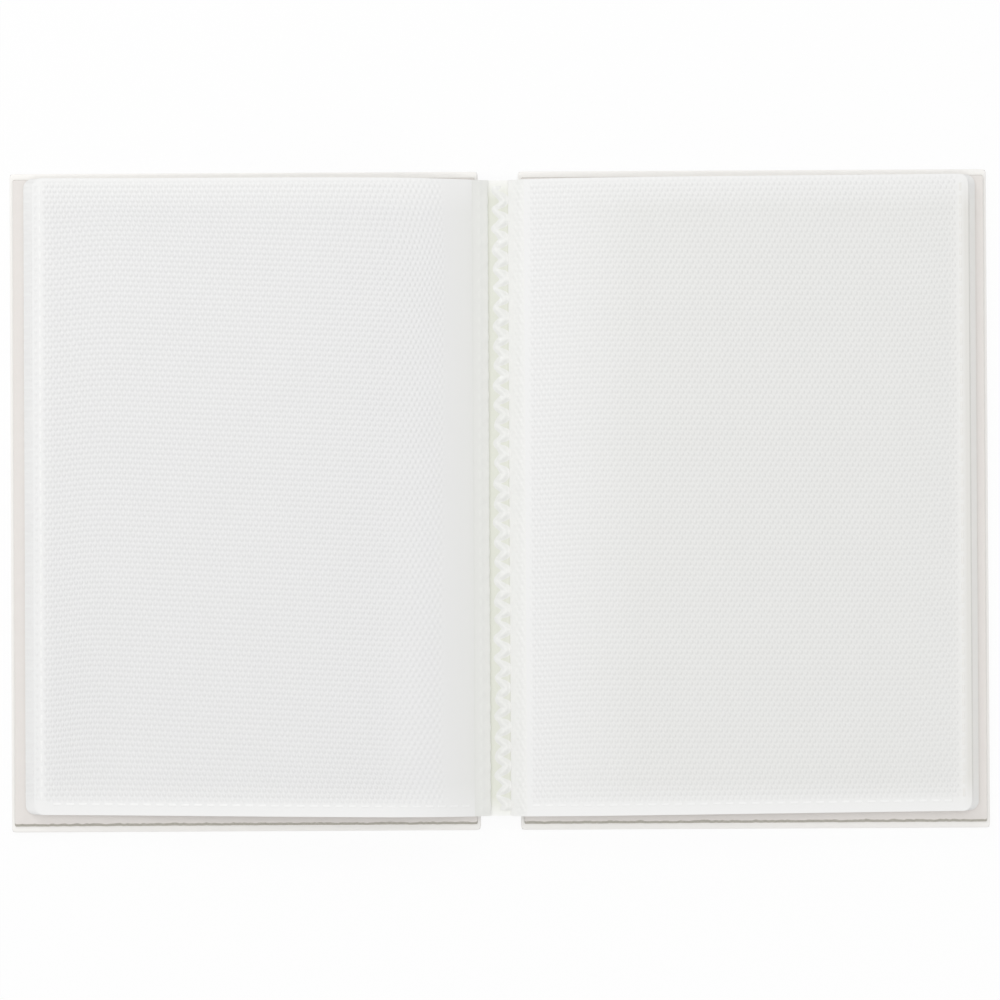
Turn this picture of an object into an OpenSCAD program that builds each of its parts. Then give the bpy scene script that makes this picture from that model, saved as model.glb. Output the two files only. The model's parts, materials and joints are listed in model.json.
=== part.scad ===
// Mini photo album, lying open. Two paper-wrapped boards carry a block of welded pocket leaves.
// The boards are joined only through the block: each end flap of the spine is glued under a liner.
// Origin: middle of the open album, on the table. +X to the right, +Y to the pocket mouths, +Z up.

/* [Print and pocket] */
// Width of the photo print that a pocket takes
print_w = 89; // [70:1:110]
// Height of the photo print
print_h = 127; // [100:1:155]
// Side to side room of the print in its pocket
pocket_room = 1; // [0.5:0.1:4]
// How far the open mouth stands above the print
mouth_room = 3; // [2:0.5:10]
// Width of the welded seam round a pocket
seam_w = 0.6; // [0.4:0.1:1.5]
// Film outside the outer seam
edge_hem = 1.4; // [0.4:0.1:3]
// Film below the bottom seam
bottom_hem = 1.9; // [0.6:0.1:3]
// Radius of a leaf's outer corners
corner_r = 2; // [1:0.5:5]

/* [Leaf block] */
// Leaves turned to the left
left_leaves = 5; // [2:1:7]
// Leaves still on the right
right_leaves = 7; // [2:1:9]
// Thickness of one film
film_t = 0.1; // [0.08:0.01:0.15]
// Space between the two films of a pocket
pocket_gap = 0.1; // [0.1:0.02:0.3]
// Air between two leaves at rest
leaf_clear = 0.1; // [0.1:0.05:0.3]
// Air between the lowest leaf and the liner
rest_clear = 0.15; // [0.1:0.05:0.5]
// How far each left leaf's edge lies outside the leaf above
left_fan = 0.3; // [0.1:0.05:0.6]
// How far each right leaf's edge lies outside the leaf above
right_fan = 0.25; // [0.1:0.05:0.6]

/* [Cover] */
// Thickness of the grey board core
board_t = 1.4; // [1:0.1:3]
// Thickness of the wrapping paper
wrap_t = 0.2; // [0.15:0.05:0.4]
// Width of the wrapping paper turned in over the board's edges
turn_in = 12; // [6:1:25]
// Thickness of the liner card
liner_t = 0.5; // [0.3:0.1:1]
// Rim of cover left bare at the liner's two sides
liner_side = 0.7; // [0.5:0.1:3]
// Rim of cover left bare at the liner's top and bottom
liner_end = 1.3; // [0.5:0.1:3]
// Thickness of the end flap under the liner
flap_t = 0.15; // [0.1:0.05:0.3]
// How much narrower than the liner the glued flap is at its other three sides
flap_inset = 1.5; // [1:0.5:10]
// Cover beyond the widest leaf's outer edge
cover_overhang = 2.4; // [1:0.05:6]
// Cover beyond the leaves at top and bottom
cover_lip = 2.45; // [1:0.05:6]
// How far the leaf block sits above the middle of the covers
block_rise = 0.55; // [0:0.05:0.9]

/* [Spine] */
// Distance between the two boards
spine_gap = 8.4; // [7.5:0.1:14]
// Thickness of the welded bar of leaf roots
bar_t = 0.7; // [0.6:0.05:1.2]
// Gap between the bar and a board, where the film bends
fold_gap = 0.1; // [0.1:0.05:0.3]
// Length of one wave of the weld
wave_pitch = 4.07; // [3:0.01:6]
// Swing of the wave to each side of its middle line
wave_swing = 1.4; // [0.6:0.1:1.6]
// Width of the weld's ridge
wave_w = 1.2; // [0.6:0.1:1.4]
// Height of the weld's ridge above the bar
wave_h = 0.5; // [0.3:0.05:0.8]
// Clearance between the ridge and the nearest margin film
wave_clear = 0.15; // [0.1:0.05:0.3]
// Air between two margin films where they lie stacked on the bar
lap_clear = 0.02; // [0.02:0.01:0.05]
// Clearance of a leaf's inner edge over the ridge when the album is shut
swing_clear = 0.125; // [0.1:0.025:0.5]

/* [Hidden] */
$fn = 48;
leaf_total = left_leaves + right_leaves;
leaf_numbers = [for (i = [1 : leaf_total]) i];
leaf_parts = ["front_film", "back_film", "seam"];

// Leaf sizes
leaf_t = 2 * film_t + pocket_gap;
leaf_pitch = leaf_t + leaf_clear;
leaf_w = print_w + pocket_room + 2 * seam_w + edge_hem;
leaf_h = print_h + mouth_room + seam_w + bottom_hem;

// Heights of the layers of a cover, from the table up
cover_t = board_t + 2 * wrap_t;
liner_z = cover_t + flap_t;
liner_top = liner_z + liner_t;

// Folds: each cover folds at its board's inner edge, each leaf at the inner edge of its pocket
fold_x = spine_gap / 2;
fold_z = cover_t + flap_t / 2;
bar_top = cover_t + bar_t;
wave_top = bar_top + wave_h;
crease_x = fold_x + wave_top - fold_z + swing_clear;

// Outline of a cover, reaching past the widest leaf
widest_fan = max(left_fan * (left_leaves - 1), right_fan * (right_leaves - 1));
cover_w = crease_x + widest_fan + leaf_w + cover_overhang - fold_x;
cover_h = leaf_h + 2 * cover_lip;

// Where the margin films lie flat on the bar
margin_start = wave_swing + wave_w / 2 + wave_clear;
margin_pitch = film_t + lap_clear;
crease_gap = 0.1;

// Side of a leaf: -1 left, 1 right
function side(i) = i <= left_leaves ? -1 : 1;
// Leaves between this one and the cover under it
function leaves_below(i) = side(i) < 0 ? i - 1 : leaf_total - i;
// Leaves lying on top of this one
function leaves_above(i) = side(i) < 0 ? left_leaves - i : i - left_leaves - 1;
function leaf_x(i) = crease_x + leaves_above(i) * (side(i) < 0 ? left_fan : right_fan);
function leaf_z(i) = liner_top + rest_clear + leaves_below(i) * leaf_pitch;
function two_digits(i) = i < 10 ? str("0", i) : str(i);
function leaf_node(i, part) = str("leaf_", two_digits(i), "_", part);

paper_white = [0.94, 0.93, 0.91];
liner_grey = [0.89, 0.88, 0.86];
board_grey = [0.62, 0.60, 0.56];
film_white = [0.93, 0.94, 0.93, 0.6];
weld_white = [0.97, 0.98, 0.96];

// Mirrors what is drawn for the right side when the left side is meant
module on_side(s) {
    mirror([s < 0 ? 1 : 0, 0, 0]) children();
}

// A box from x0 to x1 and z0 to z1, centred along Y
module slab(x0, x1, depth, z0, z1) {
    translate([x0, -depth / 2, z0]) cube([x1 - x0, depth, z1 - z0]);
}

// A layer of a right cover from z0 to z1: the cover's outline drawn in at its sides and ends
module cover_layer(side_in, end_in, z0, z1) {
    slab(fold_x + side_in, fold_x + cover_w - side_in, cover_h - 2 * end_in, z0, z1);
}

// Sets a piece of the leaf block at its height on the covers
module in_block() {
    translate([0, block_rise, 0]) children();
}

// Grey board core inside the wrapping paper
module cover_board(s) {
    color(board_grey) on_side(s) cover_layer(wrap_t, wrap_t, wrap_t, wrap_t + board_t);
}

// Wrapping paper: outer face, four edges and the turned-in border
module cover_wrap(s) {
    color(paper_white) on_side(s) difference() {
        cover_layer(0, 0, 0, cover_t);
        cover_layer(wrap_t, wrap_t, wrap_t, wrap_t + board_t);
        cover_layer(turn_in, turn_in, wrap_t + board_t, cover_t + wrap_t);
    }
}

// End flap of the leaf block, glued between the wrapping paper and the liner
module cover_flap(s) {
    end_x = fold_x + cover_w - liner_side - flap_inset;
    depth = cover_h - 2 * (liner_end + flap_inset);
    color(film_white) on_side(s) in_block() slab(fold_x + fold_gap / 2, end_x, depth, cover_t, liner_z);
}

// Liner card that covers the turned-in paper and the flap
module cover_liner(s) {
    color(liner_grey) on_side(s) cover_layer(liner_side, liner_end, liner_z, liner_top);
}

// Outline of a film: square at the crease, round at the outer corners
module film_outline() {
    translate([0, -leaf_h / 2]) square([leaf_w - corner_r, leaf_h]);
    translate([0, corner_r - leaf_h / 2]) square([leaf_w, leaf_h - 2 * corner_r]);
    for (end = [-1, 1])
        translate([leaf_w - corner_r, end * (leaf_h / 2 - corner_r)]) circle(corner_r);
}

// One film of a leaf, its underside at z
module film(i, z) {
    color(film_white) on_side(side(i)) in_block()
        translate([leaf_x(i), 0, z]) linear_extrude(film_t) film_outline();
}

// The two side strips and the bottom strip that join the films round the pocket, open at the top
module seam(i) {
    low = bottom_hem - leaf_h / 2;
    side_h = leaf_h - bottom_hem - corner_r;
    bottom_w = leaf_w - edge_hem - 2 * seam_w - 2 * lap_clear;
    color(weld_white) on_side(side(i)) in_block() translate([leaf_x(i), low, leaf_z(i) + film_t]) {
        cube([seam_w, side_h, pocket_gap]);
        translate([leaf_w - edge_hem - seam_w, 0, 0]) cube([seam_w, side_h, pocket_gap]);
        translate([seam_w + lap_clear, 0, 0]) cube([bottom_w, seam_w, pocket_gap]);
    }
}

// Draws one of a leaf's three pieces by name
module leaf_piece(i, part) {
    if (part == "back_film") film(i, leaf_z(i));
    if (part == "front_film") film(i, leaf_z(i) + film_t + pocket_gap);
    if (part == "seam") seam(i);
}

// Section of a leaf's inner margin: flat on the bar beside the weld, then rising to its pocket
module margin_section(i) {
    flat_z = bar_top + leaves_below(i) * margin_pitch;
    end_x = leaf_x(i) - crease_gap;
    end_z = leaf_z(i) + leaf_t / 2;
    polygon([
        [margin_start, flat_z],
        [fold_x, flat_z],
        [end_x, end_z - film_t / 2],
        [end_x, end_z + film_t / 2],
        [fold_x, flat_z + film_t],
        [margin_start, flat_z + film_t]
    ]);
}

// Inner margins of all the leaves of one side, which bend as the covers and leaves turn
module margins(s) {
    color(film_white) on_side(s) in_block()
        for (i = leaf_numbers)
            if (side(i) == s)
                translate([0, leaf_h / 2, 0]) rotate([90, 0, 0]) linear_extrude(leaf_h) margin_section(i);
}

// Bar of fused leaf roots that holds the block together between the boards
module spine_bar() {
    color(weld_white) in_block() slab(fold_gap - fold_x, fold_x - fold_gap, leaf_h, cover_t, bar_top);
}

// Wavy ridge of the weld, shown where the album is opened
module wave_weld() {
    waves = floor(leaf_h / wave_pitch);
    steps_per_wave = 8;
    steps = waves * steps_per_wave;
    function wave_y(n) = (n / steps - 0.5) * waves * wave_pitch;
    function wave_x(n) = wave_swing * sin(360 * n / steps_per_wave);
    near_side = [for (n = [0 : steps]) [wave_x(n) - wave_w / 2, wave_y(n)]];
    far_side = [for (n = [steps : -1 : 0]) [wave_x(n) + wave_w / 2, wave_y(n)]];
    color(weld_white) in_block() translate([0, 0, bar_top])
        linear_extrude(wave_h) polygon(concat(near_side, far_side));
}

spine_bar();
wave_weld();
margins(-1);  // front_margins
margins(1);  // back_margins
cover_board(-1);  // front_board
cover_board(1);  // back_board
cover_wrap(-1);  // front_wrap
cover_wrap(1);  // back_wrap
cover_flap(-1);  // front_flap
cover_flap(1);  // back_flap
cover_liner(-1);  // front_liner
cover_liner(1);  // back_liner
for (i = leaf_numbers)
    for (part = leaf_parts)
        leaf_piece(i, part);
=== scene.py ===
"""Mini photo album, lying open: its looks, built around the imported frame. Lengths are in metres."""

import json
import math
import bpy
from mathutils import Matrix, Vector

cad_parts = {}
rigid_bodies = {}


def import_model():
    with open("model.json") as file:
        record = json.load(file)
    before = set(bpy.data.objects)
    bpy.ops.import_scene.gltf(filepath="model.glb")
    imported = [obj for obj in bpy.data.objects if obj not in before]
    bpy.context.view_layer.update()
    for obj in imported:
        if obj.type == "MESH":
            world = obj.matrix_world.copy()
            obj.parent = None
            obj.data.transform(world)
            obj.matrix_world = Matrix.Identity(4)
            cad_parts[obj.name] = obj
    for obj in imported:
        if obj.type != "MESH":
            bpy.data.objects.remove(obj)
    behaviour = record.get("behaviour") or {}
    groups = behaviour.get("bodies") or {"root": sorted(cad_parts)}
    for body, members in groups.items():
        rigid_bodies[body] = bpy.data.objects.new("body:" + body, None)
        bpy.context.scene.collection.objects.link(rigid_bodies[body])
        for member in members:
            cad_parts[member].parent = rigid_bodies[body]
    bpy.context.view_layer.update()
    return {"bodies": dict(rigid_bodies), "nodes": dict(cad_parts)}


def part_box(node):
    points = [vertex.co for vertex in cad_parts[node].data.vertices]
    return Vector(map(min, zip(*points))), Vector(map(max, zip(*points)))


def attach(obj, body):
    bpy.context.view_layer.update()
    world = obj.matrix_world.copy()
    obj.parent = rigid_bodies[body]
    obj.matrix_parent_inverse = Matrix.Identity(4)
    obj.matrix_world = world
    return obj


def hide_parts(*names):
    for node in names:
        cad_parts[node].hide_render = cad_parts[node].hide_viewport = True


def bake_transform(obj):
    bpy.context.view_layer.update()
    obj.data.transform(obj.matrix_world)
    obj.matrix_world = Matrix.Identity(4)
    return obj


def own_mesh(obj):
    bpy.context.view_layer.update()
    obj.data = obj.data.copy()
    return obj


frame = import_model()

from types import SimpleNamespace

import bmesh
import bpy
import numpy as np

MM = 0.001
LEFT, RIGHT = -1, 1
COVER_OF = {LEFT: "front", RIGHT: "back"}

# Photograph: pixel size at the covers, and the pixel where the album's middle lies
IMAGE_SIDE = 1000
PIXEL = 0.209 * MM
MIDDLE_PIXEL = (499.7, 500.6)
CAMERA_DISTANCE = 1.0
CAMERA_TILT = math.radians(0.8)
CAMERA_ROLL = math.radians(-0.3)
SENSOR_MM = 36.0

# Light, as shares of what a level white surface gets, and the floor
KEY_TURN = math.radians(30)
KEY_ELEVATION = math.radians(38)
KEY_SHARE = 0.095
KEY_DISTANCE = 0.7
KEY_SIDE = 0.2
OVERHEAD_SHARE = 0.28
OVERHEAD_ELEVATION = math.radians(88)
OVERHEAD_TURN = math.radians(150)
OVERHEAD_ANGLE = math.radians(60)
OVERHEAD_DISTANCE = 1.0
FILL_SHARE = 0.64
FLOOR_REACH = 4.0
FLOOR_DROP = 0.02 * MM
FLOOR_COLOUR = (0.9, 0.9, 0.9)
FLOOR_GLOW = 0.9

# Bow of the leaves beside the gutter, from the lowest to the top leaf of a pile
BOW_LOW = {LEFT: 2.6 * MM, RIGHT: 1.0 * MM}
BOW_TOP = {LEFT: 4.6 * MM, RIGHT: 1.7 * MM}
BOW_CREST = {LEFT: 19 * MM, RIGHT: 20 * MM}
BOW_POWER = {LEFT: 2.1, RIGHT: 2.2}
BOW_STEPS = 4000
BOW_TWIST = 0.10
TWIST_TURN = 1.3
TWIST_PHASE = 0.6
TWIST_REACH = 30 * MM
SHEAR = {LEFT: 0.8 * MM, RIGHT: 0.7 * MM}

# Embossed dots: relief as shape, and the bump's share of it on films with and without that shape
FILM = 0.1 * MM
DOT_PITCH = 1.14 * MM
ROW_PITCH = 1.08 * MM
RELIEF = {LEFT: 0.12 * MM, RIGHT: 0.11 * MM}
BUMP_SHARE = {True: 0.9, False: 1.3}
SMOOTH_BY_GUTTER = {LEFT: 6.2 * MM, RIGHT: 0.6 * MM}
GENTLE_SHARE = {LEFT: 0.4, RIGHT: 1.0}
GENTLE_SPAN = 14 * MM
FADE = 1.0 * MM
# Painted highlight: the dots' peaks are painted paler, towards white
DOT_PAINTED_HIGHLIGHT = 0.2
PATTERN_TURN = {LEFT: math.radians(2.1), RIGHT: math.radians(0.8)}
TURN_FADE = 18 * MM
SHAPED_FILMS = {("leaf_05", "upper"), ("leaf_06", "upper"), ("leaf_06", "lower"), ("leaf_07", "upper")}

# Grids of a film without shaped dots, and of every film's inner face
PLAIN_ROW = 5 * MM
PLAIN_COLUMNS = 56
CORNER_COLUMNS = 7
INNER_ROWS = 13

# Map of a film: its dotted face at true scale, the other narrowed beside that, the rims in strips above
MAP_SPAN = 140 * MM
UNDER_START = 0.70
UNDER_SHARE = 0.28
RIM_START = 0.02
RIM_SHARE = 0.9
RIM_ROWS = (0.96, 0.97, 0.98, 0.99)
RIM_STRIP = 0.006

# Weld lines round a pocket, pressed as dashes
SEAM_WIDTH = 0.6 * MM
BOTTOM_HEM = 1.9 * MM
EDGE_HEM = 1.4 * MM
PINCH = 0.045 * MM
CORNER = 2.0 * MM
DASH_PITCH = 2.68 * MM
DASH_LENGTH = 1.75 * MM
DASH_WIDTH = 0.6 * MM
DASH_HEIGHT = 0.06 * MM
DASH_SLOPE = 0.15 * MM
DASH_SINK = 0.02 * MM
SMOOTH_BY_EDGE = {LEFT: 0, RIGHT: EDGE_HEM + SEAM_WIDTH}

# Wave of the weld; the ridge's width and height are a base share, one that swings and one left to chance
WAVE_PITCH = 4.07 * MM
WAVE_SWING = 1.05 * MM
WAVE_SHIFT = 0.4 * MM
WAVE_HALF_WIDTH = 1.0 * MM
WAVE_WANDER = 0.15 * MM
WAVE_STEPS = 20
WAVE_COLUMNS = 41
WAVE_SINK = 0.02 * MM
WAVE_END = 0.9 * MM
WAVE_SEED = 5
CHANCE_STEPS = 4
RIDGE_WIDTH = (0.78, 0.28, 0.4)
RIDGE_HEIGHT = (0.46, 0.3, 0.3)
RIDGE_REACH = 1.4
HOLLOW = {LEFT: 0.2 * MM, RIGHT: 0.16 * MM}
HOLLOW_WIDTH = 1.3 * MM
HOLLOW_REACH = 2.2 * MM
HOLLOW_EDGE = 0.2
BAR_REACH = 1.1
BAR_COLUMNS = 41

# Margins that come out of the weld; the shares shape the curve up to the crease
MARGIN_ROOT = {LEFT: 0, RIGHT: -0.08 * MM}
MARGIN_LAP = {LEFT: 0.015 * MM, RIGHT: 0.01 * MM}
MARGIN_RIPPLE = {LEFT: 0.1 * MM, RIGHT: 0.06 * MM}
MARGIN_STEPS = {True: 28, False: 10}
PLAIN_MARGIN_ROWS = 64
ROOT_REACH_SHARE = 0.25
ROOT_RISE_SHARE = 0.5
CREASE_PULL_SHARE = 0.45
CREASE_FADE = 0.1
INNER_WELD = {LEFT: 3.7 * MM, RIGHT: 4.45 * MM}
INNER_DASH_SPREAD = 0.6 * DASH_WIDTH
INNER_DASH_CONTRAST = 1.5

# Covers; a card's rings are shares of its thickness, of its bevel and of its wear
PAPER = 0.2 * MM
TURN_IN = 12 * MM
EDGE_ROUND = 0.4 * MM
EDGE_ANGLES = (0, 30, 60, 90)
CORNER_POINTS = 5
LEAST_RADIUS = 0.02 * MM
CARD_CORNER = 0.25 * MM
CARD_BEVEL = {"bottom": 0.6 * MM, "sides": 0.03 * MM, "top": 0.08 * MM}
CARD_RINGS = ((0, 0.15, 0), (0.25, 0, 0.3), (0.925, 0.85, 0.8), (1, 1.05, 1))
CARD_ROUGHNESS = 0.1 * MM
CARD_SIDE_POINTS = 220
CARD_SEED = {"front": 7, "back": 8}
CLEAN_CUT_SHARE = 0.15

# Colours in linear light; a pair is the two ends of a mottled colour
WHITE = (1.0, 1.0, 1.0)
PAPER_COLOURS = ((0.91, 0.895, 0.868), (0.945, 0.93, 0.905))
BOARD_COLOURS = ((0.36, 0.34, 0.31), (0.50, 0.48, 0.44))
CARD_COLOURS = ((0.77, 0.736, 0.707), (0.803, 0.769, 0.74))
# The card's cut core: partly its own darker colour, partly painted shade along the bottom edge, where the
# bevel is widest
CORE_AND_SHADE_COLOURS = ((0.31, 0.295, 0.25), (0.58, 0.555, 0.50))
FILM_COLOURS = {
    LEFT: ((0.841, 0.841, 0.839), (0.861, 0.861, 0.859)),
    RIGHT: ((0.831, 0.831, 0.815), (0.851, 0.851, 0.836)),
}
# Painted light: the films turn paler towards the gutter, lifting the shade of the page's slopes there
GUTTER_PAINTED_LIGHT_COLOURS = {LEFT: (0.862, 0.864, 0.842), RIGHT: (0.892, 0.892, 0.887)}
GUTTER_LIGHT_SPAN = {LEFT: 9 * MM, RIGHT: 24 * MM}
END_COLOUR = (0.905, 0.905, 0.897)
END_SPAN = 7 * MM
NEAR_WELD_COLOURS = {LEFT: (0.885, 0.885, 0.88), RIGHT: (0.868, 0.865, 0.846)}
NEAR_WELD_SPAN = 3 * MM
# Hem colours; on the plain films on the right, the lower leaves, the pale hem is painted light on stepped
# edges that lie in shade
HEM_COLOURS_AND_PAINTED_LIGHT = {
    (LEFT, True): (0.885, 0.885, 0.88),
    (LEFT, False): (0.885, 0.885, 0.88),
    (RIGHT, True): (0.78, 0.77, 0.738),
    (RIGHT, False): (0.92, 0.912, 0.885),
}
MARGIN_COLOURS = {
    LEFT: ((0.838, 0.842, 0.814), (0.858, 0.862, 0.834)),
    RIGHT: ((0.88, 0.882, 0.862), (0.905, 0.907, 0.89)),
}
# Painted light at the margins' roots, which lifts the shade beside the weld
ROOT_PAINTED_LIGHT_COLOURS = {LEFT: (0.90, 0.903, 0.872), RIGHT: (0.98, 0.98, 0.962)}
ROOT_LIGHT_SPAN = {LEFT: (2.4 * MM, 3.5 * MM), RIGHT: (2.0 * MM, 4.4 * MM)}
WELD_COLOURS = ((0.87, 0.872, 0.862), (0.895, 0.895, 0.888))
HEM_WELD_COLOURS = ((0.80, 0.792, 0.765), (0.82, 0.812, 0.785))
RIDGE_COLOURS = ((0.795, 0.80, 0.77), (0.845, 0.847, 0.83))
FUSED_COLOURS = ((0.695, 0.71, 0.622), (0.75, 0.762, 0.687))
FUSED_END_COLOUR = (0.90, 0.90, 0.875)
FUSED_END = 4 * MM

# Surfaces: feature sizes and depths of grain and haze, and how rough and how clear
CLOUD_SIZE = 9 * MM
HAZE_SIZE = 0.25 * MM
HAZE_DEPTH = 0.004 * MM
MOTTLE_SIZE = 2.5 * MM
CORE_SIZE = 0.3 * MM
FIBRE_STRETCH = (1, 0.6, 1)
PAPER_GRAIN = (0.35 * MM, 0.02 * MM)
BOARD_GRAIN = (0.5 * MM, 0.04 * MM)
CARD_GRAIN = (0.25 * MM, 0.02 * MM)
CARD_FACE = (0.06 * MM, 0.01 * MM)
PAPER_SPECULAR = 0.3
ROUGHNESS = {"paper": 0.85, "board": 0.95, "card": 0.9, "embossed": 0.42, "margin": 0.35, "fused": 0.3,
             "weld": 0.28, "ridge": 0.25, "hem weld": 0.3, "floor": 0.9}
FILM_ALPHA = 0.95


def read_leaf(body):
    """Where the frame has a leaf: its side, crease, width, ends and the heights of its two films."""
    low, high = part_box(f"{body}_front_film")
    back_low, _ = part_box(f"{body}_back_film")
    return SimpleNamespace(
        body=body,
        side=RIGHT if low.x > 0 else LEFT,
        crease=min(abs(low.x), abs(high.x)),
        width=high.x - low.x,
        middle=(low.y + high.y) / 2,
        half=(high.y - low.y) / 2,
        upper=low.z,
        lower=back_low.z,
    )


leaves = [read_leaf(body) for body in sorted(frame["bodies"]) if body.startswith("leaf_")]
piles = {
    side: sorted((leaf for leaf in leaves if leaf.side == side), key=lambda leaf: leaf.lower)
    for side in (LEFT, RIGHT)
}
for pile in piles.values():
    for level, leaf in enumerate(pile):
        leaf.level = level
        leaf.top = level == len(pile) - 1
        share = level / (len(pile) - 1)
        leaf.bow = BOW_LOW[leaf.side] + (BOW_TOP[leaf.side] - BOW_LOW[leaf.side]) * share


# Meshes


def new_mesh(name, points, faces, smooth_angle=40):
    """A mesh object from points and faces, smooth up to an angle in degrees."""
    mesh = bpy.data.meshes.new(name)
    mesh.from_pydata([tuple(p) for p in points], [], faces)
    mesh.update()
    mesh.shade_smooth()
    mesh.set_sharp_from_angle(angle=math.radians(smooth_angle))
    piece = bpy.data.objects.new(name, mesh)
    bpy.context.scene.collection.objects.link(piece)
    return piece


def spread(last, count):
    """Whole numbers spread evenly from 0 to last."""
    return sorted({round(k) for k in np.linspace(0, last, count)})


def halves(i, j):
    """The two triangles of a grid square, cut so that on a dotted film they fan out from the dots."""
    return ((0, 1, 2), (0, 2, 3)) if (i + j) % 2 == 0 else ((0, 1, 3), (1, 2, 3))


def closed_sheet(name, upper, lower, rows, flip, place=None):
    """A thin closed sheet: upper is a fine grid of points, and lower has points at only some of its rows.
    place gives the upper grid's (across, along) lengths for the sheet's map."""
    columns, fine = upper.shape[:2]
    coarse = len(rows)
    points = np.concatenate([upper.reshape(-1, 3), lower.reshape(-1, 3)])

    def top(i, j):
        return i * fine + j

    def under(i, k):
        return columns * fine + i * coarse + k

    faces = []
    for i in range(columns - 1):
        for j in range(fine - 1):
            square = (top(i, j), top(i + 1, j), top(i + 1, j + 1), top(i, j + 1))
            faces += [tuple(square[n] for n in half) for half in halves(i, j)]
        for k in range(coarse - 1):
            faces.append((under(i, k), under(i, k + 1), under(i + 1, k + 1), under(i + 1, k)))
        faces.append((top(i, 0), under(i, 0), under(i + 1, 0), top(i + 1, 0)))
        last = coarse - 1
        faces.append((top(i + 1, fine - 1), under(i + 1, last), under(i, last), top(i, fine - 1)))
    for k in range(coarse - 1):
        span = range(rows[k], rows[k + 1] + 1)
        faces.append((under(0, k + 1), under(0, k), *(top(0, j) for j in span)))
        end = columns - 1
        faces.append((under(end, k), under(end, k + 1), *(top(end, j) for j in reversed(span))))
    if flip:
        faces = [face[::-1] for face in faces]
    piece = new_mesh(name, points, faces)
    if place is not None:
        map_sheet(piece, place, rows, flip)
    return piece


def map_sheet(piece, place, rows, flip):
    """Maps a closed sheet, face by face in the order in which closed_sheet makes them."""
    columns, fine = place.shape[:2]
    coarse = len(rows)
    top = place / MAP_SPAN
    under = top[:, rows].copy()
    under[:, :, 0] = UNDER_START + UNDER_SHARE * under[:, :, 0]
    first_side, last_side, first_end, last_end = RIM_ROWS
    corners = []

    def rim(shares, v, on_top):
        heights = [v + (RIM_STRIP if high else 0) for high in on_top]
        return [(RIM_START + RIM_SHARE * share, height) for share, height in zip(shares, heights)]

    for i in range(columns - 1):
        for j in range(fine - 1):
            square = (top[i, j], top[i + 1, j], top[i + 1, j + 1], top[i, j + 1])
            corners += [[square[n] for n in half] for half in halves(i, j)]
        for k in range(coarse - 1):
            corners.append([under[i, k], under[i, k + 1], under[i + 1, k + 1], under[i + 1, k]])
        here, ahead = i / columns, (i + 1) / columns
        corners.append(rim((here, here, ahead, ahead), first_side, (True, False, False, True)))
        corners.append(rim((ahead, ahead, here, here), last_side, (True, False, False, True)))
    for k in range(coarse - 1):
        tops = [j / fine for j in range(rows[k], rows[k + 1] + 1)]
        on_top = (False, False, *(True for _ in tops))
        start, end = rows[k] / fine, rows[k + 1] / fine
        corners.append(rim((end, start, *tops), first_end, on_top))
        corners.append(rim((start, end, *tops[::-1]), last_end, on_top))
    if flip:
        corners = [face[::-1] for face in corners]
    layer = piece.data.uv_layers.new(name="OFBake")
    layer.data.foreach_set("uv", np.concatenate([np.array(face) for face in corners]).ravel())


def loft(name, rings, smooth_angle=40):
    """A closed skin over rings of points: each has as many points, and the first and last are filled."""
    count = len(rings[0])
    faces = []
    for r in range(len(rings) - 1):
        for n in range(count):
            m = (n + 1) % count
            faces.append((r * count + n, r * count + m, (r + 1) * count + m, (r + 1) * count + n))
    faces.append(tuple(reversed(range(count))))
    start = (len(rings) - 1) * count
    faces.append(tuple(range(start, start + count)))
    piece = new_mesh(name, np.concatenate(rings), faces, smooth_angle)
    shape = bmesh.new()
    shape.from_mesh(piece.data)
    bmesh.ops.recalc_face_normals(shape, faces=shape.faces)
    shape.to_mesh(piece.data)
    shape.free()
    return piece


def rounded_ring(low, high, inset, z, corner, per_side=2):
    """Points round a rectangle with round corners, counter-clockwise, drawn in by inset."""
    x0, x1 = low.x + inset, high.x - inset
    y0, y1 = low.y + inset, high.y - inset
    radius = max(corner - inset, LEAST_RADIUS)
    centres = [
        (x1 - radius, y0 + radius),
        (x1 - radius, y1 - radius),
        (x0 + radius, y1 - radius),
        (x0 + radius, y0 + radius),
    ]

    def on_corner(quarter, angle):
        x, y = centres[quarter % 4]
        return x + radius * math.cos(angle), y + radius * math.sin(angle)

    points = []
    for quarter in range(4):
        start = math.pi / 2 * (quarter - 1)
        step = math.pi / 2 / (CORNER_POINTS - 1)
        points += [on_corner(quarter, start + n * step) for n in range(CORNER_POINTS)]
        x, y = points[-1]
        goal_x, goal_y = on_corner(quarter + 1, start + math.pi / 2)
        for t in np.arange(1, per_side) / per_side:
            points.append((x * (1 - t) + goal_x * t, y * (1 - t) + goal_y * t))
    return np.array([(x, y, z) for x, y in points])


# Leaf shape


def bow_share(x, crest, reach, power):
    """Share of a leaf's bow at a distance x from its crease: steep up to the crest, then a cosine down."""
    rise = 1 - (1 - np.clip(x / crest, 0, 1)) ** power
    fall = 0.5 + 0.5 * np.cos(np.pi * np.clip((x - crest) / (reach - crest), 0, 1))
    return np.where(x < crest, rise, fall)


def leaf_curve(leaf, s):
    """(x from the crease, z above the flat leaf, normal x, normal z) at arc lengths s across a leaf."""
    x = np.linspace(0, leaf.width, BOW_STEPS)
    z = leaf.bow * bow_share(x, BOW_CREST[leaf.side], leaf.width, BOW_POWER[leaf.side])
    arc = np.concatenate([[0], np.cumsum(np.hypot(np.diff(x), np.diff(z)))])
    slope = np.interp(s, arc, np.gradient(z, x))
    length = np.hypot(1, slope)
    return np.interp(s, arc, x), np.interp(s, arc, z), -slope / length, 1 / length


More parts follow.
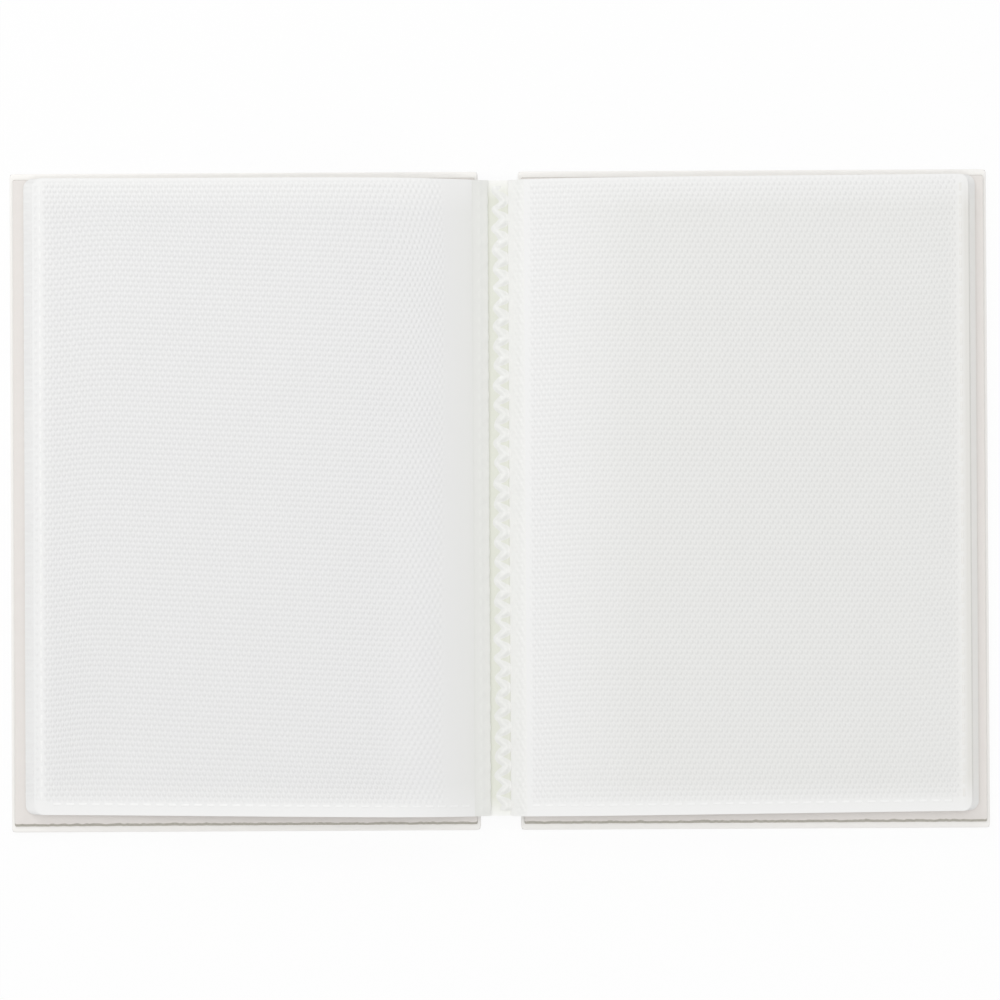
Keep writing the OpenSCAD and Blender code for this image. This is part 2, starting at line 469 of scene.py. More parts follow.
def leaf_points(leaf, s, y, height, offset):
    """Points of a leaf's surface at arc lengths s and y from the leaf's middle, lifted by offset."""
    x, z, nx, nz = leaf_curve(leaf, s)
    along = np.sin(TWIST_TURN * y / leaf.half + TWIST_PHASE)
    twist = 1 + BOW_TWIST * along * np.clip(s / TWIST_REACH, 0, 1)
    shear = SHEAR[leaf.side] * (x / leaf.width)
    across = leaf.side * (leaf.crease + x + nx * offset)
    return np.stack([across + 0 * y, leaf.middle + y + shear, height + z * twist + nz * offset], axis=2)


def half_height(leaf, s):
    """Half of a leaf's height at arc lengths s, less at its round outer corners."""
    past = np.clip(s - (leaf.width - CORNER), 0, CORNER)
    return leaf.half - CORNER + np.sqrt(CORNER**2 - past**2)


def fitted(length, pitch):
    """The pitch nearest to a given one of which a length holds a whole number of quarters."""
    return 4 * length / round(4 * length / pitch)


def dot_pattern(leaf, s, y):
    """The embossed dots, from -1/2 to 1, at lengths s across a leaf and y from its middle."""
    across = np.cos(2 * np.pi * s / fitted(leaf.width, DOT_PITCH))
    turns = 2 * np.pi * (y + leaf.half) / fitted(2 * leaf.half, 2 * ROW_PITCH)
    return (2 * across * np.cos(turns) + np.cos(2 * turns)) / 3


def weld_line(leaf):
    """How far from its crease a leaf has the weld along its outer side."""
    return leaf.width - EDGE_HEM - SEAM_WIDTH / 2


def emboss(leaf, s, y):
    """Relief of the embossed dots, fading out at the welds, the hems and the gutter."""
    dots = dot_pattern(leaf, s[:, None], y)
    past = s - SMOOTH_BY_GUTTER[leaf.side]
    gentle = GENTLE_SHARE[leaf.side]
    inner = np.clip(past / FADE, 0, 1) * (gentle + (1 - gentle) * np.clip(past / GENTLE_SPAN, 0, 1))
    outer = np.clip((leaf.width - SMOOTH_BY_EDGE[leaf.side] - s) / FADE, 0, 1)
    beside = np.clip(np.abs(s - weld_line(leaf)) / DASH_WIDTH - 0.5, 0, 1)
    bottom = np.clip((y + leaf.half - BOTTOM_HEM - SEAM_WIDTH) / FADE, 0, 1)
    top = np.clip((leaf.half - y) / FADE, 0, 1)
    return RELIEF[leaf.side] * dots * (inner * outer * beside)[:, None] * bottom * top


def pinch(leaf, s, y):
    """How far a film bends to the other one: at the gutter and past the welds, where the two meet."""
    outer = (s - weld_line(leaf) + SEAM_WIDTH / 2 + FADE) / FADE
    inner = (FADE - s) / FADE
    bottom = (BOTTOM_HEM + SEAM_WIDTH + FADE - (y + leaf.half)) / FADE
    return PINCH * np.clip(np.maximum(np.maximum(outer, inner)[:, None], bottom), 0, 1)


def turned_pattern(leaf, s, y):
    """Where a film's pattern point (s, y) lies: turned about the leaf's middle, but not at its edges."""
    from_sides = np.clip(np.minimum(s, leaf.width - s) / TURN_FADE, 0, 1)
    from_ends = np.clip((leaf.half - np.abs(y)) / TURN_FADE, 0, 1)
    share = np.sin(np.pi / 2 * from_sides) ** 2 * np.sin(np.pi / 2 * from_ends) ** 2
    turn = leaf.side * PATTERN_TURN[leaf.side] * share
    return s + turn * y, y - turn * (s - leaf.width / 2)


def film_piece(leaf, which, shaped):
    """One film of a leaf as a thin closed sheet, with its dots as relief where shaped says so."""
    if shaped:
        rows = round(4 * leaf.half / ROW_PITCH)
        s = np.linspace(0, leaf.width, round(4 * leaf.width / DOT_PITCH) + 1)
    else:
        rows = round(2 * leaf.half / PLAIN_ROW)
        straight = leaf.width - CORNER
        turn = np.sin(np.linspace(0, math.pi / 2, CORNER_COLUMNS + 1))[1:]
        s = np.concatenate([np.linspace(0, straight, PLAIN_COLUMNS), straight + CORNER * turn])
    y = half_height(leaf, s)[:, None] * np.linspace(-1, 1, rows + 1)[None, :]
    faces_up = which == "upper"
    out = 1 if faces_up else -1
    height = (leaf.upper if faces_up else leaf.lower) - out * pinch(leaf, s, y)
    relief = emboss(leaf, s, y) if shaped else 0 * y
    s = s[:, None] + 0 * y
    place = np.stack([s, y + leaf.half], axis=2)
    s, y = turned_pattern(leaf, s, y)
    outside = leaf_points(leaf, s, y, height, out * relief + (FILM if faces_up else 0))
    kept = spread(rows, INNER_ROWS)
    inner_offset = 0 * y[:, kept] + (0 if faces_up else FILM)
    inside = leaf_points(leaf, s[:, kept], y[:, kept], height[:, kept], inner_offset)
    flip = (leaf.side < 0) == faces_up
    return closed_sheet(f"{leaf.body}_{which}_film", outside, inside, kept, flip, place)


def dash(leaf, points, faces, s_span, y_span, height):
    """Adds one raised dash of a weld, with sloping sides, to a list of points and faces."""
    start = len(points)
    for inset, lift in ((0, -DASH_SINK), (DASH_SLOPE, DASH_HEIGHT)):
        s = np.array([[s_span[0] + inset], [s_span[1] - inset]])
        y = np.array([[y_span[0] + inset, y_span[1] - inset]] * 2)
        corners = leaf_points(leaf, s, y, height, 0 * y + lift)
        points += [corners[0, 0], corners[1, 0], corners[1, 1], corners[0, 1]]
    order = [(3, 2, 1, 0), (4, 5, 6, 7)] + [(n, (n + 1) % 4, (n + 1) % 4 + 4, n + 4) for n in range(4)]
    for face in order:
        face = [start + n for n in face]
        faces.append(face if leaf.side > 0 else face[::-1])


def weld_piece(leaf):
    """The dashes of a leaf's welds: along the bottom and the outer side of its pocket."""
    points, faces = [], []
    height = leaf.upper + FILM - PINCH
    low = -leaf.half + BOTTOM_HEM
    outer = weld_line(leaf)

    def span(middle, length):
        return middle - length / 2, middle + length / 2

    bottom_span = span(low + SEAM_WIDTH / 2, DASH_WIDTH)
    for n in range(int((outer - SEAM_WIDTH) / DASH_PITCH)):
        s_span = span(SEAM_WIDTH + (n + 0.5) * DASH_PITCH, DASH_LENGTH)
        dash(leaf, points, faces, s_span, bottom_span, height)
    outer_span = span(outer, DASH_WIDTH)
    for n in range(int((2 * leaf.half - BOTTOM_HEM) / DASH_PITCH)):
        y_span = span(low + SEAM_WIDTH + (n + 0.5) * DASH_PITCH, DASH_LENGTH)
        dash(leaf, points, faces, outer_span, y_span, height)
    return new_mesh(f"{leaf.body}_welds", points, faces, smooth_angle=20)


# Spine shape

bar_low, bar_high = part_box("spine_bar")
_, wave_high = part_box("wave_weld")
spine_middle = (bar_low.y + bar_high.y) / 2
spine_half = (bar_high.y - bar_low.y) / 2
waves = math.floor(2 * spine_half / WAVE_PITCH)


def wave_swing(y):
    """How far the weld swings at y: 1 is all the way to the right, -1 to the left."""
    phase = (y - spine_middle) / WAVE_PITCH + waves / 2
    return np.sin(2 * np.pi * phase)


def bar_top(x):
    """Height of the fused bar's upper face across the spine: pressed in on both sides of the wave."""
    within = np.clip((HOLLOW_REACH - np.abs(x)) / (HOLLOW_EDGE * HOLLOW_REACH), 0, 1)
    depth = 0 * x
    for side, deepest in HOLLOW.items():
        away = np.clip(side * (x - WAVE_SHIFT) / HOLLOW_WIDTH, 0, 1)
        depth = depth + deepest * np.sin(np.pi / 2 * away) ** 2
    return bar_high.z - within * depth


def ridge_piece():
    """The wavy ridge of the weld: a soft uneven swell, broad and high where the wave swings right."""
    rows = waves * WAVE_STEPS
    y = spine_middle + np.linspace(-0.5, 0.5, rows + 1) * waves * WAVE_PITCH
    swing = wave_swing(y)
    draw = np.random.default_rng(WAVE_SEED)
    knots = np.arange(0, rows + CHANCE_STEPS, CHANCE_STEPS)

    def chance(least):
        return np.interp(np.arange(rows + 1), knots, draw.uniform(least, 1, len(knots)))

    uneven = chance(0)
    line = WAVE_SHIFT + WAVE_SWING * swing + WAVE_WANDER * chance(-1)

    def varied(base, by_swing, by_chance):
        return base + by_swing * swing + by_chance * uneven

    to_end = np.minimum(y - y[0], y[-1] - y)
    runout = np.sqrt(np.clip(to_end / WAVE_END, 0, 1))
    widths = WAVE_HALF_WIDTH * varied(*RIDGE_WIDTH)
    heights = (wave_high.z - bar_high.z) * varied(*RIDGE_HEIGHT) * runout
    reach = WAVE_SWING + RIDGE_REACH * WAVE_HALF_WIDTH
    x = WAVE_SHIFT + np.linspace(-reach, reach, WAVE_COLUMNS)
    rise = np.zeros((WAVE_COLUMNS, rows + 1))
    for j, at in enumerate(y):
        near = slice(max(0, j - WAVE_STEPS), j + WAVE_STEPS)
        distance = np.hypot(x[:, None] - line[near], at - y[near])
        swell = heights[near] * np.cos(np.pi / 2 * np.clip(distance / widths[near], 0, 1)) ** 2
        rise[:, j] = swell.max(axis=1)
    top_z = bar_top(x)[:, None] - WAVE_SINK + rise
    top = np.stack([x[:, None] + 0 * rise, y[None, :] + 0 * rise, top_z], axis=2)
    kept = spread(rows, waves + 1)
    below = top[:, kept].copy()
    below[:, :, 2] = bar_high.z - 2 * max(HOLLOW.values())
    return closed_sheet("wave_ridge", top, below, kept, False)


def inner_dashes(leaf, x, y):
    """Height of the dashed weld line in a leaf's inner margin."""
    on_line = np.exp(-(((x - INNER_WELD[leaf.side]) / INNER_DASH_SPREAD) ** 2))
    in_dash = np.clip(INNER_DASH_CONTRAST * np.cos(2 * np.pi * y / DASH_PITCH) + 0.5, 0, 1)
    return DASH_HEIGHT * on_line * in_dash


def margin_piece(leaf):
    """A leaf's inner margin: film that rises out of the weld and turns over into the leaf at its crease."""
    steps = MARGIN_STEPS[leaf.top]
    rows = 2 * round(4 * leaf.half / ROW_PITCH) if leaf.top else PLAIN_MARGIN_ROWS
    y = np.linspace(-leaf.half, leaf.half, rows + 1) + leaf.middle
    t = np.linspace(0, 1, steps + 1)[:, None]
    low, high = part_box(f"{COVER_OF[leaf.side]}_margins")
    ripple = MARGIN_RIPPLE[leaf.side] * wave_swing(y) if leaf.top else 0 * y
    edge = min(abs(low.x), abs(high.x)) + leaf.side * ripple
    edge_z = bar_high.z + MARGIN_ROOT[leaf.side] + (leaf.level + 1) * MARGIN_LAP[leaf.side]
    _, _, normal_x, normal_z = leaf_curve(leaf, 0.0)
    end_z = (leaf.upper + leaf.lower + FILM) / 2
    reach = leaf.crease - edge
    pull = CREASE_PULL_SHARE * reach
    points_x = [edge, edge + ROOT_REACH_SHARE * reach, leaf.crease - pull * normal_z, leaf.crease + 0 * y]
    points_z = [edge_z, edge_z + ROOT_RISE_SHARE * (end_z - edge_z), end_z + pull * normal_x, end_z]
    weights = [(1 - t) ** 3, 3 * t * (1 - t) ** 2, 3 * t**2 * (1 - t), t**3]
    x = sum(w * p for w, p in zip(weights, points_x))
    z = sum(w * p for w, p in zip(weights, points_z)) + 0 * x
    if leaf.top:
        z = z + inner_dashes(leaf, x, y)
    if leaf.top and leaf.side == RIGHT:
        dots = dot_pattern(leaf, x - leaf.crease, y - leaf.middle)
        shown = np.clip((x - edge) / FADE - 0.5, 0, 1) * np.clip((1 - t) / CREASE_FADE, 0, 1)
        z = z + RELIEF[leaf.side] * dots * shown
    upper = np.stack([leaf.side * x, y[None, :] + 0 * x, z + FILM / 2], axis=2)
    kept = spread(rows, rows // 4 + 1)
    lower = upper[:, kept] - np.array([0, 0, FILM])
    return closed_sheet(f"{leaf.body}_margin", upper, lower, kept, leaf.side < 0)


def bar_piece():
    """The bar of fused leaf roots: flat below, and pressed in above, on both sides of the wave."""
    y = np.linspace(bar_low.y, bar_high.y, waves + 1)
    reach = BAR_REACH * HOLLOW_REACH
    x = np.concatenate([[bar_low.x], np.linspace(-reach, reach, BAR_COLUMNS), [bar_high.x]])
    across, along = np.meshgrid(x, y, indexing="ij")
    top = np.stack([across, along, bar_top(across)], axis=2)
    below = top.copy()
    below[:, :, 2] = bar_low.z
    return closed_sheet("fused_bar", top, below, range(waves + 1), False)


# Cover shape


def paper_piece(cover):
    """A cover's wrapping paper: outer face, rounded edges and the border turned in over the board."""
    low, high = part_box(f"{cover}_wrap")
    board_low, board_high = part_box(f"{cover}_board")
    edges = []
    for angle in np.radians(EDGE_ANGLES):
        edges.append((EDGE_ROUND * (1 - math.cos(angle)), EDGE_ROUND * (1 - math.sin(angle))))
    profile = [(inset, low.z + rise) for inset, rise in reversed(edges)]
    profile += [(inset, high.z - rise) for inset, rise in edges]
    profile += [(TURN_IN, high.z), (TURN_IN, board_high.z), (PAPER, board_high.z), (PAPER, board_low.z)]
    rings = [rounded_ring(low, high, inset, z, 2 * EDGE_ROUND) for inset, z in profile]
    return loft(f"{cover}_cover_paper", rings)


def card_piece(cover):
    """A cover's liner card: its edge is a rough bevelled cut, widest along the bottom."""
    low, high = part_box(f"{cover}_liner")
    draw = np.random.default_rng(CARD_SEED[cover])
    foot = rounded_ring(low, high, 0, low.z, CARD_CORNER, CARD_SIDE_POINTS)
    rough = draw.normal(0, CARD_ROUGHNESS, (len(foot), 2))
    on_bottom = np.isclose(foot[:, 1], low.y)
    rough = (rough + np.roll(rough, 1, axis=0)) / 2 * np.where(on_bottom, 1, CLEAN_CUT_SHARE)[:, None]
    middle = np.array([(low.x + high.x) / 2, (low.y + high.y) / 2])
    half = np.array([(high.x - low.x) / 2, (high.y - low.y) / 2])
    drawn_in = np.array([CARD_BEVEL["sides"], (CARD_BEVEL["bottom"] + CARD_BEVEL["top"]) / 2])
    shift = np.array([0, (CARD_BEVEL["bottom"] - CARD_BEVEL["top"]) / 2])
    rings = []
    for rise, bevel, wear in CARD_RINGS:
        ring = foot.copy()
        narrowed = (foot[:, :2] - middle) * (1 - drawn_in / half * bevel)
        ring[:, :2] = middle + shift * bevel + narrowed + rough * wear
        ring[:, 2] = low.z + rise * (high.z - low.z)
        rings.append(ring)
    return loft(f"{cover}_liner_card", rings, smooth_angle=30)


# Shader nodes


def material(name, colour, roughness, specular=0.5, alpha=1.0):
    """A Principled material: (material, node tree, shader)."""
    made = bpy.data.materials.new(name)
    made.use_nodes = True
    tree = made.node_tree
    shader = tree.nodes["Principled BSDF"]
    shader.inputs["Base Color"].default_value = (*colour, 1)
    shader.inputs["Roughness"].default_value = roughness
    shader.inputs["Specular IOR Level"].default_value = specular
    shader.inputs["Alpha"].default_value = alpha
    return made, tree, shader


def add_node(tree, kind, inputs=None, **settings):
    """A node with its settings and input values; an input may be a value or another node's output."""
    node = tree.nodes.new(kind)
    for key, value in settings.items():
        setattr(node, key, value)
    for key, value in (inputs or {}).items():
        if isinstance(value, bpy.types.NodeSocket):
            tree.links.new(value, node.inputs[key])
        else:
            node.inputs[key].default_value = value
    return node


def maths(tree, operation, *values, **settings):
    """The result of a maths node."""
    inputs = dict(enumerate(values))
    return add_node(tree, "ShaderNodeMath", inputs, operation=operation, **settings).outputs[0]


def times(tree, *values):
    """The product of values."""
    product = values[0]
    for value in values[1:]:
        product = maths(tree, "MULTIPLY", product, value)
    return product


def distance_from(tree, value, middle):
    """How far a value lies from a middle one."""
    return maths(tree, "ABSOLUTE", maths(tree, "SUBTRACT", value, middle))


def ramp(tree, value, start, end, low=0.0):
    """A value's way from start to end, from low to 1."""
    inputs = {"Value": value, "From Min": start, "From Max": end, "To Min": low}
    return add_node(tree, "ShaderNodeMapRange", inputs).outputs[0]


def position(tree):
    """The place on the object, in metres."""
    return add_node(tree, "ShaderNodeTexCoord").outputs["Object"]


def on_axis(tree, axis):
    """The place on the object along one axis, in metres."""
    return add_node(tree, "ShaderNodeSeparateXYZ", {0: position(tree)}).outputs[axis]


def noise(tree, size, detail, stretch=None):
    """Noise with features of about a size, in metres, from 0 to 1."""
    place = position(tree)
    if stretch:
        stretched = add_node(tree, "ShaderNodeVectorMath", {0: place, 1: stretch}, operation="MULTIPLY")
        place = stretched.outputs[0]
    inputs = {"Vector": place, "Scale": 1 / size, "Detail": detail}
    return add_node(tree, "ShaderNodeTexNoise", inputs).outputs["Fac"]


def between(tree, factor, low, high):
    """A colour between two, by a factor. Each is a plain colour or another node's output."""
    low, high = ((*colour, 1) if isinstance(colour, tuple) else colour for colour in (low, high))
    return add_node(tree, "ShaderNodeMix", {0: factor, 6: low, 7: high}, data_type="RGBA").outputs[2]


def set_colour(tree, shader, colour):
    """Gives a shader a node's output as its colour."""
    tree.links.new(colour, shader.inputs["Base Color"])


def set_bump(tree, shader, height, depth):
    """Bumps a shader by a height of which 1 stands for a depth in metres."""
    bump = add_node(tree, "ShaderNodeBump", {"Height": height, "Strength": 1.0, "Distance": depth})
    tree.links.new(bump.outputs["Normal"], shader.inputs["Normal"])


# Materials of the covers


def paper_base(name, colours, grain, roughness):
    """Matt paper or card with a fibre grain: (material, node tree, shader, mottled colour)."""
    made, tree, shader = material(name, colours[1], roughness, specular=PAPER_SPECULAR)
    size, depth = grain
    set_bump(tree, shader, noise(tree, size, detail=5, stretch=FIBRE_STRETCH), depth)
    return made, tree, shader, between(tree, noise(tree, MOTTLE_SIZE, detail=4), *colours)


def paper_material(name, colours, grain, roughness):
    """Matt paper or board of one mottled colour."""
    made, tree, shader, colour = paper_base(name, colours, grain, roughness)
    set_colour(tree, shader, colour)
    return made


def card_material():
    """Pale card whose cut edge shows a darker core; that dark colour is partly the card's own and partly
    painted shade, seen most along the bottom edge.
    """
    made, tree, shader, face = paper_base("liner_card", CARD_COLOURS, CARD_GRAIN, ROUGHNESS["card"])
    _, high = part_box("front_liner")
    on_face = ramp(tree, on_axis(tree, "Z"), *(high.z - depth for depth in CARD_FACE))
    # Core colour, partly painted shade
    core = between(tree, noise(tree, CORE_SIZE, detail=4), *CORE_AND_SHADE_COLOURS)
    set_colour(tree, shader, between(tree, on_face, core, face))
    return made


# Materials of the film


def cloudy(tree, colours):
    """The faintly cloudy colour of milky film."""
    return between(tree, noise(tree, CLOUD_SIZE, detail=3), *colours)


def film_base(name, colours, roughness, alpha=1.0):
    """Smooth milky film with a fine haze in its surface: (material, node tree, shader, cloudy colour)."""
    made, tree, shader = material(name, colours[1], roughness, alpha=alpha)
    set_bump(tree, shader, noise(tree, HAZE_SIZE, detail=2), HAZE_DEPTH)
    return made, tree, shader, cloudy(tree, colours)


def film_material(name, colours, roughness):
    """Smooth film of one cloudy colour."""
    made, tree, shader, colour = film_base(name, colours, roughness)
    set_colour(tree, shader, colour)
    return made


def spine_material():
    """Fused film, paler towards the two ends of the bar."""
    made, tree, shader, pressed = film_base("fused_film", FUSED_COLOURS, ROUGHNESS["fused"])
    away = distance_from(tree, on_axis(tree, "Y"), spine_middle)
    at_end = ramp(tree, away, spine_half - FUSED_END, spine_half)
    set_colour(tree, shader, between(tree, at_end, pressed, FUSED_END_COLOUR))
    return made


def margin_material(side):
    """Film of the inner margins, with painted light where it comes out of the weld, lifting the shade at
    its root.
    """
    name = f"margin_film_{COVER_OF[side]}"
    made, tree, shader, film = film_base(name, MARGIN_COLOURS[side], ROUGHNESS["margin"], FILM_ALPHA)
    from_root = ramp(tree, maths(tree, "ABSOLUTE", on_axis(tree, "X")), *ROOT_LIGHT_SPAN[side])
    # Painted light at the margin's root
    set_colour(tree, shader, between(tree, from_root, ROOT_PAINTED_LIGHT_COLOURS[side], film))
    return made


def map_place(tree):
    """Where a film's map has a point: (across from the crease, along from the bottom), in metres."""
    place = add_node(tree, "ShaderNodeUVMap", uv_map="OFBake").outputs[0]
    axes = add_node(tree, "ShaderNodeSeparateXYZ", {0: place}).outputs
    return times(tree, axes["X"], MAP_SPAN), times(tree, axes["Y"], MAP_SPAN)


def dot_nodes(tree, leaf, across, along):
    """The dots of dot_pattern, as nodes."""
    turns_across = times(tree, across, 2 * math.pi / fitted(leaf.width, DOT_PITCH))
    turns_along = times(tree, along, 2 * math.pi / fitted(2 * leaf.half, 2 * ROW_PITCH))
    pairs = times(tree, maths(tree, "COSINE", turns_across), maths(tree, "COSINE", turns_along), 2 / 3)
    rows = maths(tree, "COSINE", times(tree, turns_along, 2.0))
    return maths(tree, "MULTIPLY_ADD", rows, 1 / 3, pairs)


def fade_nodes(tree, leaf, across, along):
    """How the dots fade out at the welds, the hems and the gutter: what emboss does, as nodes."""
    smooth = SMOOTH_BY_GUTTER[leaf.side]
    edge = leaf.width - SMOOTH_BY_EDGE[leaf.side]
    hem = BOTTOM_HEM + SEAM_WIDTH
    mouth = 2 * leaf.half
    from_weld = distance_from(tree, across, weld_line(leaf))
    return times(
        tree,
        ramp(tree, across, smooth, smooth + FADE),
        ramp(tree, across, smooth, smooth + GENTLE_SPAN, GENTLE_SHARE[leaf.side]),
        ramp(tree, across, edge, edge - FADE),
        ramp(tree, from_weld, 0.5 * DASH_WIDTH, 1.5 * DASH_WIDTH),
        ramp(tree, along, hem, hem + FADE),
        ramp(tree, along, mouth, mouth - FADE),
    )


def page_colour(tree, leaf, shaped, across, along):
    """A film's colour under its dots, which changes towards the gutter, the weld, the hem and the ends; its
    paler colour towards the gutter is painted light on the page's slopes, and so is the pale hem of the
    lower right leaves.
    """
    side = leaf.side
    weld = weld_line(leaf)
    mouth = 2 * leaf.half
    # Painted light towards the gutter
    film = between(tree, ramp(tree, across, 0.0, GUTTER_LIGHT_SPAN[side]), GUTTER_PAINTED_LIGHT_COLOURS[side],
                   cloudy(tree, FILM_COLOURS[side]))
    film = between(tree, ramp(tree, across, weld - NEAR_WELD_SPAN, weld), film, NEAR_WELD_COLOURS[side])
    # The hem's colour, with painted light on the lower right leaves
    film = between(tree, ramp(tree, across, weld, weld + FADE), film, HEM_COLOURS_AND_PAINTED_LIGHT[side, shaped])
    from_ends = times(tree, ramp(tree, along, 0.0, END_SPAN), ramp(tree, along, mouth, mouth - END_SPAN))
    return between(tree, from_ends, END_COLOUR, film)


def embossed_material(side, shaped):
    """Film with embossed dots and a painted highlight on their peaks; shaped says that the mesh has them
    too.
    """
    leaf = piles[side][0]
    name = f"embossed_film_{COVER_OF[side]}_{'shaped' if shaped else 'plain'}"
    made, tree, shader = material(name, FILM_COLOURS[side][1], ROUGHNESS["embossed"], alpha=FILM_ALPHA)
    across, along = map_place(tree)
    relief = times(tree, dot_nodes(tree, leaf, across, along), fade_nodes(tree, leaf, across, along))
    set_bump(tree, shader, relief, RELIEF[side] * BUMP_SHARE[shaped])
    # Painted highlight on the dots' peaks
    peak_highlight = maths(tree, "MULTIPLY", relief, DOT_PAINTED_HIGHLIGHT, use_clamp=True)
    film = page_colour(tree, leaf, shaped, across, along)
    set_colour(tree, shader, between(tree, peak_highlight, film, WHITE))
    return made


paper_look = paper_material("wrapping_paper", PAPER_COLOURS, PAPER_GRAIN, ROUGHNESS["paper"])
board_look = paper_material("grey_board", BOARD_COLOURS, BOARD_GRAIN, ROUGHNESS["board"])
card_look = card_material()
film_looks = {
    (side, shaped): embossed_material(side, shaped) for side in COVER_OF for shaped in (True, False)
}
margin_looks = {side: margin_material(side) for side in COVER_OF}
weld_look = film_material("weld", WELD_COLOURS, ROUGHNESS["weld"])
hem_weld_look = film_material("weld_on_hem", HEM_WELD_COLOURS, ROUGHNESS["hem weld"])
ridge_look = film_material("weld_ridge", RIDGE_COLOURS, ROUGHNESS["ridge"])
spine_look = spine_material()


# The pieces on their bodies


def dress(piece, look, body, slot, *nodes):
    """Gives a piece its material and the body it rides on, if any, and hides the nodes it stands for; slot
    is not used.
    """
    piece.data.materials.clear()
    piece.data.materials.append(look)
    if body:
        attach(piece, body)
    if nodes:
        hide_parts(*nodes)
    return piece


def fade_outer_dashes(welds, leaf):
    """Gives the dashes along a leaf's outer side the fainter look of its hem."""
    welds.data.materials.append(hem_weld_look)
    outer = leaf.crease + weld_line(leaf) - SEAM_WIDTH / 2 - DASH_WIDTH
    for face in welds.data.polygons:
        face.material_index = int(abs(face.center.x) > outer - leaf.bow)


def add_leaf(leaf):
    """A leaf's films and welds, riding on the leaf, and its inner margin."""
    cover = COVER_OF[leaf.side]
    for which, node, height in (("upper", "front_film", leaf.upper), ("lower", "back_film", leaf.lower)):
        shaped = (leaf.body, which) in SHAPED_FILMS
        film = film_piece(leaf, which, shaped)
        dress(film, film_looks[leaf.side, shaped], leaf.body, "pocket_film", f"{leaf.body}_{node}")
        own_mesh(film)
    welds = dress(weld_piece(leaf), weld_look, leaf.body, "weld", f"{leaf.body}_seam")
    if leaf.side == RIGHT:
        fade_outer_dashes(welds, leaf)
    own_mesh(welds)
    margin = dress(margin_piece(leaf), margin_looks[leaf.side], None, "pocket_film", f"{cover}_margins")
    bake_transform(margin)


def add_cover(side, cover):
    """A cover's paper and liner card, and new looks for its board and flap."""
    dress(paper_piece(cover), paper_look, f"{cover}_cover", "cover_paper", f"{cover}_wrap")
    dress(card_piece(cover), card_look, f"{cover}_cover", "liner_card", f"{cover}_liner")
    for node, look in ((f"{cover}_board", board_look), (f"{cover}_flap", margin_looks[side])):
        frame["nodes"][node].data.materials.clear()
        frame["nodes"][node].data.materials.append(look)


for leaf in leaves:
    add_leaf(leaf)
dress(ridge_piece(), ridge_look, "spine", "weld", "wave_weld")
dress(bar_piece(), spine_look, "spine", "weld", "spine_bar")
for side, cover in COVER_OF.items():
    add_cover(side, cover)


# Stage: floor, light and camera


def floor():
    """A pale floor that reads as white, and keeps the object's shadow."""
    square = ((-1, -1), (1, -1), (1, 1), (-1, 1))
    corners = [(x * FLOOR_REACH, y * FLOOR_REACH, -FLOOR_DROP) for x, y in square]
    piece = new_mesh("floor", corners, [(0, 1, 2, 3)])
    made, tree, shader = material("floor_white", FLOOR_COLOUR, ROUGHNESS["floor"], specular=0.0)
    rays = add_node(tree, "ShaderNodeLightPath")
    seen = rays.outputs["Is Camera Ray"]
    for ray in ("Is Glossy Ray", "Is Transmission Ray"):
        seen = maths(tree, "MAXIMUM", seen, rays.outputs[ray])
    glow = add_node(tree, "ShaderNodeEmission", {"Color": (*WHITE, 1), "Strength": 1.0})
    share = times(tree, seen, FLOOR_GLOW)
    mix = add_node(tree, "ShaderNodeMixShader", {0: share, 1: shader.outputs[0], 2: glow.outputs[0]})
    tree.links.new(mix.outputs[0], tree.nodes["Material Output"].inputs["Surface"])
    piece.data.materials.append(made)


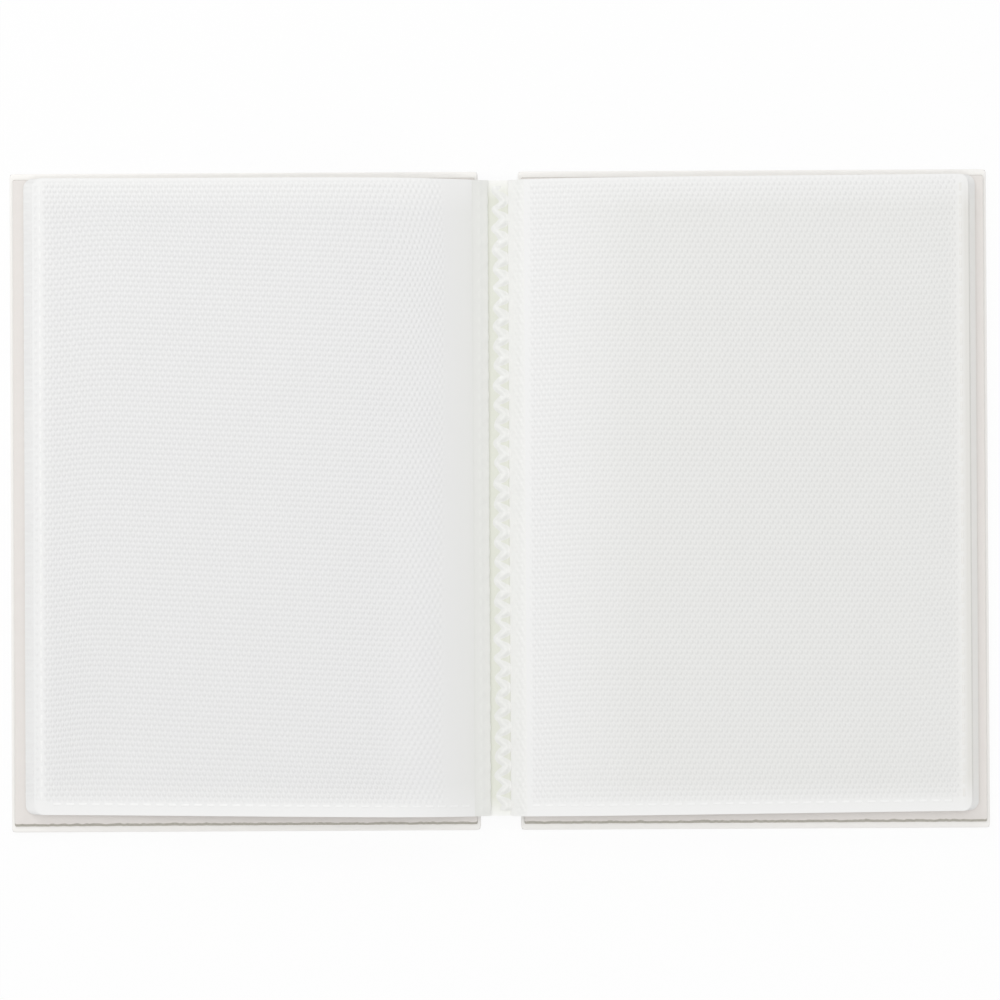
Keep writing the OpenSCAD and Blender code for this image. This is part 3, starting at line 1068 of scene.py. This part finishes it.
def world():
    """Even fill light; the camera sees plain white."""
    made = bpy.data.worlds.new("fill")
    made.use_nodes = True
    tree = made.node_tree
    background = tree.nodes["Background"]
    background.inputs["Color"].default_value = (*WHITE, 1)
    rays = add_node(tree, "ShaderNodeLightPath")
    inputs = {"Value": rays.outputs["Is Camera Ray"], "To Min": FILL_SHARE, "To Max": 1.0}
    strength = add_node(tree, "ShaderNodeMapRange", inputs)
    tree.links.new(strength.outputs[0], background.inputs["Strength"])
    bpy.context.scene.world = made


def place_light(light, elevation, turn, distance):
    """Puts a light at a distance from the album's middle, up from the floor, turned from the top edge."""
    holder = bpy.data.objects.new(light.name, light)
    out = distance * math.cos(elevation)
    holder.location = (-out * math.sin(turn), out * math.cos(turn), distance * math.sin(elevation))
    holder.rotation_euler = (elevation - math.pi / 2, 0, turn)
    bpy.context.scene.collection.objects.link(holder)


def softbox():
    """The key light: a square softbox beyond the top edge, to the left."""
    light = bpy.data.lights.new("key", "AREA")
    light.size = KEY_SIDE
    light.energy = math.pi**2 * KEY_SHARE * KEY_DISTANCE**2 / math.sin(KEY_ELEVATION)
    place_light(light, KEY_ELEVATION, KEY_TURN, KEY_DISTANCE)


def overhead():
    """A wide soft light from above."""
    light = bpy.data.lights.new("overhead", "SUN")
    light.energy = math.pi * OVERHEAD_SHARE / math.sin(OVERHEAD_ELEVATION)
    light.angle = OVERHEAD_ANGLE
    place_light(light, OVERHEAD_ELEVATION, OVERHEAD_TURN, OVERHEAD_DISTANCE)


def camera():
    """A long lens above the album, as in the photograph."""
    lens = bpy.data.cameras.new("camera")
    lens.sensor_width = SENSOR_MM
    lens.lens = SENSOR_MM * CAMERA_DISTANCE / (IMAGE_SIDE * PIXEL)
    view = bpy.data.objects.new("camera", lens)
    centre_x = (IMAGE_SIDE / 2 - MIDDLE_PIXEL[0]) * PIXEL
    centre_y = (MIDDLE_PIXEL[1] - IMAGE_SIDE / 2) * PIXEL
    view.location = (
        centre_x,
        centre_y - CAMERA_DISTANCE * math.sin(CAMERA_TILT),
        CAMERA_DISTANCE * math.cos(CAMERA_TILT),
    )
    view.rotation_euler = (CAMERA_TILT, 0, CAMERA_ROLL)
    bpy.context.scene.collection.objects.link(view)
    bpy.context.scene.camera = view


floor()
world()
softbox()
overhead()
camera()
bpy.context.scene.view_settings.view_transform = "Standard"
